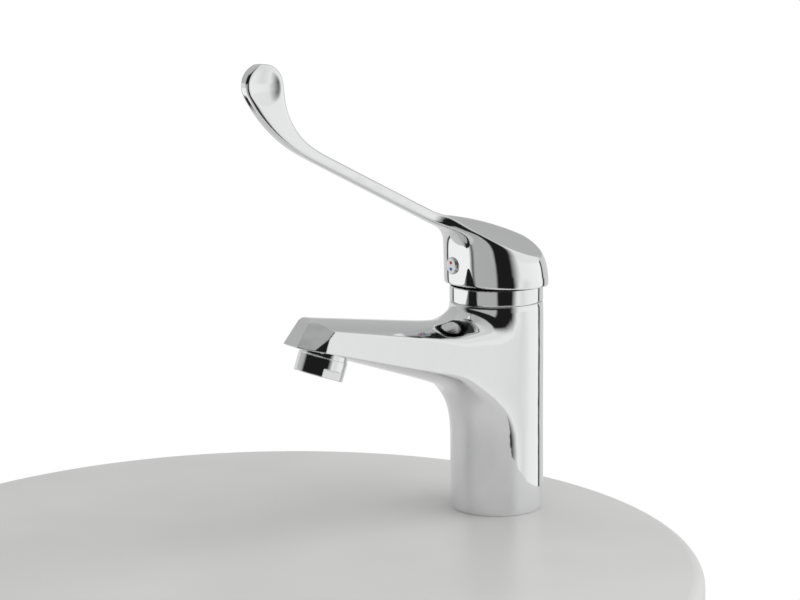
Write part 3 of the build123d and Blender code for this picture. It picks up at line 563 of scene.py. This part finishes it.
handle = evaluated(cage, rounded)
ball_radius = (dimple_radius ** 2 + dimple_depth ** 2) / (2 * dimple_depth)
for vertex in handle.verts:
    out, reach, height = vertex.co.x, -vertex.co.y, vertex.co.z
    if reach < facet_fade[1] and height > rim_front_height:
        vertex.co.z = softer_of(height, roof_height(out, reach), facet_blend)
    away = sqrt((reach - blade_centre.x) ** 2 + (height - blade_centre.y) ** 2)
    if away < dimple_radius + dimple_blend and abs(out) > arm_half_thickness / 2:
        floor = arm_half_thickness - dimple_depth + ball_radius - sqrt(ball_radius ** 2 - away ** 2)
        vertex.co.x = copysign(softer_of(abs(out), floor, dimple_blend), out)
lined(handle, [edge for edge in handle.edges if edge.is_boundary], cavity_steps, 1)
bmesh.ops.recalc_face_normals(handle, faces=handle.faces)
lever_shell = new_piece("lever_shell", handle, "lever", "chrome", chrome, cast_inside_painted_shade)
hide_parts("lever_handle")

# Indicator button: a bright moulded plug that hides the set screw, with a small painted bar for
# hot above one for cold.
button_finish, nodes, links, shader = new_material("bright_button")
shader.inputs["Metallic"].default_value = 0.8
shader.inputs["Base Color"].default_value = (0.72, 0.73, 0.74, 1.0)
links.new(spread(nodes, links, noise(nodes, links, 500.0, 2.0), 0.16, 0.26),
          shader.inputs["Roughness"])
dress(button_finish, "indicator_button")
dress(plastic("red_paint", (0.5, 0.02, 0.02, 1), (0.62, 0.03, 0.03, 1), 0.2, 0.3), "hot_mark")
dress(plastic("blue_paint", (0.02, 0.09, 0.45, 1), (0.03, 0.13, 0.58, 1), 0.2, 0.3), "cold_mark")

# Basin deck that the tap stands on: glazed ceramic with a round edge, pale and smooth, and a
# round hole that the stud and the hoses pass through. The horseshoe clamps it from below.
deck_centre = Vector((0.0118, -0.1488, 0.0))
deck_radius = 0.2105
deck_depth = 0.012
deck_round = 0.0055
deck_hole_radius = 0.0175
deck_segments, round_segments = 128, 6
glaze, nodes, links, shader = new_material("deck_glaze")
shader.inputs["Roughness"].default_value = 0.35
clouding = noise(nodes, links, 9.0, 2.0)
links.new(tint(nodes, links, clouding, (0.67, 0.67, 0.665, 1), (0.72, 0.72, 0.71, 1)),
          shader.inputs["Base Color"])
deck_edit = bmesh.new()
bmesh.ops.create_cone(deck_edit, cap_ends=True, segments=deck_segments, radius1=deck_radius,
                      radius2=deck_radius, depth=deck_depth)
bmesh.ops.translate(deck_edit, verts=deck_edit.verts,
                    vec=deck_centre - Vector((0, 0, deck_depth / 2)))
rim_edges = [e for e in deck_edit.edges if all(v.co.z > -deck_depth / 2 for v in e.verts)]
bmesh.ops.bevel(deck_edit, geom=rim_edges, offset=deck_round, affect="EDGES",
                segments=round_segments, profile=0.5, material=-1)
deck_edit = bored(deck_edit, deck_hole_radius, deck_depth, Vector((0, 0, 0)), 0)
new_piece("deck", deck_edit, None, None, glaze)

# Camera at the photograph's viewing angle: a long lens in front of the tap on its left-hand side,
# a little above the handle's hub and looking slightly down.
camera_spot = Vector((0.778489, -0.556806, 0.273816))
camera_forward = Vector((-0.82981563, 0.53129748, -0.17067222))
camera_right = Vector((0.54075608, 0.84110973, -0.01082993))
camera_up = Vector((-0.13780015, 0.10127889, 0.98526834))
camera_data = bpy.data.cameras.new("studio_camera")
camera_data.sensor_fit = "HORIZONTAL"
camera_data.sensor_width = 36.0
camera_data.lens = 85.5
camera_data.clip_start = 0.01
camera_data.clip_end = 20.0
camera = bpy.data.objects.new("studio_camera", camera_data)
turn = Matrix((camera_right, camera_up, -camera_forward)).transposed()
camera.matrix_world = Matrix.Translation(camera_spot) @ turn.to_4x4()
bpy.context.scene.collection.objects.link(camera)
bpy.context.scene.camera = camera
bpy.context.scene.view_settings.view_transform = "Standard"

# Surround: a white background, and for the polished metal a room of bright panels and dark gaps.
# Angles turn from the camera towards its right, in degrees. Each belt of the room gives the
# rises, as sines, over which it takes over from the belt below.
room = (
    (None, None, [(-180, 0.7), (-141, 0.6), (-138, 0.03), (-134, 0.03), (-130, 0.93), (-62, 0.95),
                  (-54, 0.06), (-48, 0.44), (-3, 0.42), (2, 0.012), (35, 0.012), (51, 0.85),
                  (66, 0.74), (84, 0.88), (120, 0.93), (124, 0.012), (128, 0.012), (132, 0.62),
                  (180, 0.7)]),
    (-0.13, -0.10, [(-180, 0.7), (-100, 0.74), (-86, 0.46), (-4, 0.43), (1, 0.012), (32, 0.012),
                    (54, 0.85), (118, 0.95), (121, 0.02), (124, 0.02), (128, 0.62), (180, 0.7)]),
    (0.07, 0.12, [(-180, 0.5), (-125, 0.46), (-112, 0.5), (-92, 0.42), (-78, 0.012), (34, 0.012),
                  (54, 0.8), (120, 0.85), (140, 0.5), (160, 0.45), (180, 0.5)]),
    (0.66, 0.76, [(-180, 0.55), (-34, 0.42), (90, 0.7), (180, 0.55)]),
)
plain_level = (0.72, 0.72, 0.72, 1.0)
white = (1.0, 1.0, 1.0, 1.0)
world = bpy.data.worlds.new("studio")
bpy.context.scene.world = world
world.use_nodes = True
nodes, links = world.node_tree.nodes, world.node_tree.links
nodes.clear()
towards_camera = Vector((-camera_forward.x, -camera_forward.y, 0)).normalized()
sideways = Vector((-towards_camera.y, towards_camera.x, 0))


def band(stops, turn_share):
    """A colour ramp round the horizon, given as pairs of angle and brightness."""
    ramp = nodes.new("ShaderNodeValToRGB")
    elements = ramp.color_ramp.elements
    while len(elements) < len(stops):
        elements.new(0.5)
    for element, (angle, bright) in zip(elements, stops):
        element.position = angle / 360.0 + 0.5
        element.color = (bright, bright, bright, 1.0)
    links.new(turn_share, ramp.inputs["Fac"])
    return ramp.outputs["Color"]


def component(direction, vector):
    """How far a direction points along a vector."""
    dot = nodes.new("ShaderNodeVectorMath")
    dot.operation = "DOT_PRODUCT"
    dot.inputs[1].default_value = vector
    links.new(direction, dot.inputs[0])
    return dot.outputs["Value"]


def math_step(operation, *values):
    """One math node on sockets or numbers."""
    step = nodes.new("ShaderNodeMath")
    step.operation = operation
    for place_in, value in zip(step.inputs, values):
        if isinstance(value, (int, float)):
            place_in.default_value = value
        else:
            links.new(value, place_in)
    return step.outputs["Value"]


def blended(share, first, second):
    """A colour from one socket's towards another's, or towards a fixed colour."""
    blend = nodes.new("ShaderNodeMix")
    blend.data_type = "RGBA"
    links.new(share, blend.inputs["Factor"])
    links.new(first, blend.inputs[6])
    if isinstance(second, tuple):
        blend.inputs[7].default_value = second
    else:
        links.new(second, blend.inputs[7])
    return blend.outputs[2]


direction = nodes.new("ShaderNodeTexCoord").outputs["Generated"]
ahead = component(direction, towards_camera)
aside = component(direction, sideways)
height = component(direction, Vector((0, 0, 1)))
turn_share = math_step("ADD", math_step("DIVIDE", math_step("ARCTAN2", aside, ahead), 2 * pi), 0.5)
surround = None
for low, high, stops in room:
    belt = band(stops, turn_share)
    if surround is None:
        surround = belt
        continue
    rise = nodes.new("ShaderNodeMapRange")
    rise.interpolation_type = "SMOOTHSTEP"
    rise.inputs["From Min"].default_value = low
    rise.inputs["From Max"].default_value = high
    links.new(height, rise.inputs["Value"])
    surround = blended(rise.outputs["Result"], surround, belt)
seen = nodes.new("ShaderNodeLightPath")
surround = blended(seen.outputs["Is Diffuse Ray"], surround, plain_level)
straight = math_step("MAXIMUM", seen.outputs["Is Camera Ray"],
                     seen.outputs["Is Transmission Ray"])
background = nodes.new("ShaderNodeBackground")
links.new(blended(straight, surround, white), background.inputs["Color"])
output = nodes.new("ShaderNodeOutputWorld")
links.new(background.outputs["Background"], output.inputs["Surface"])

# Window: one soft lamp behind the tap on its right, for the shadow on the deck. Polished metal
# doesn't show it, because the room's panels are there for that.
window_data = bpy.data.lights.new("window", "AREA")
window_data.energy = 7.0
window_data.size = 1.2
window = bpy.data.objects.new("window", window_data)
window.location = (0.6, 0.8, 0.9)
window.visible_glossy = False
lit_spot = Vector((0, 0, 0.1))
window.rotation_euler = (lit_spot - window.location).to_track_quat("-Z", "Y").to_euler()
bpy.context.scene.collection.objects.link(window)
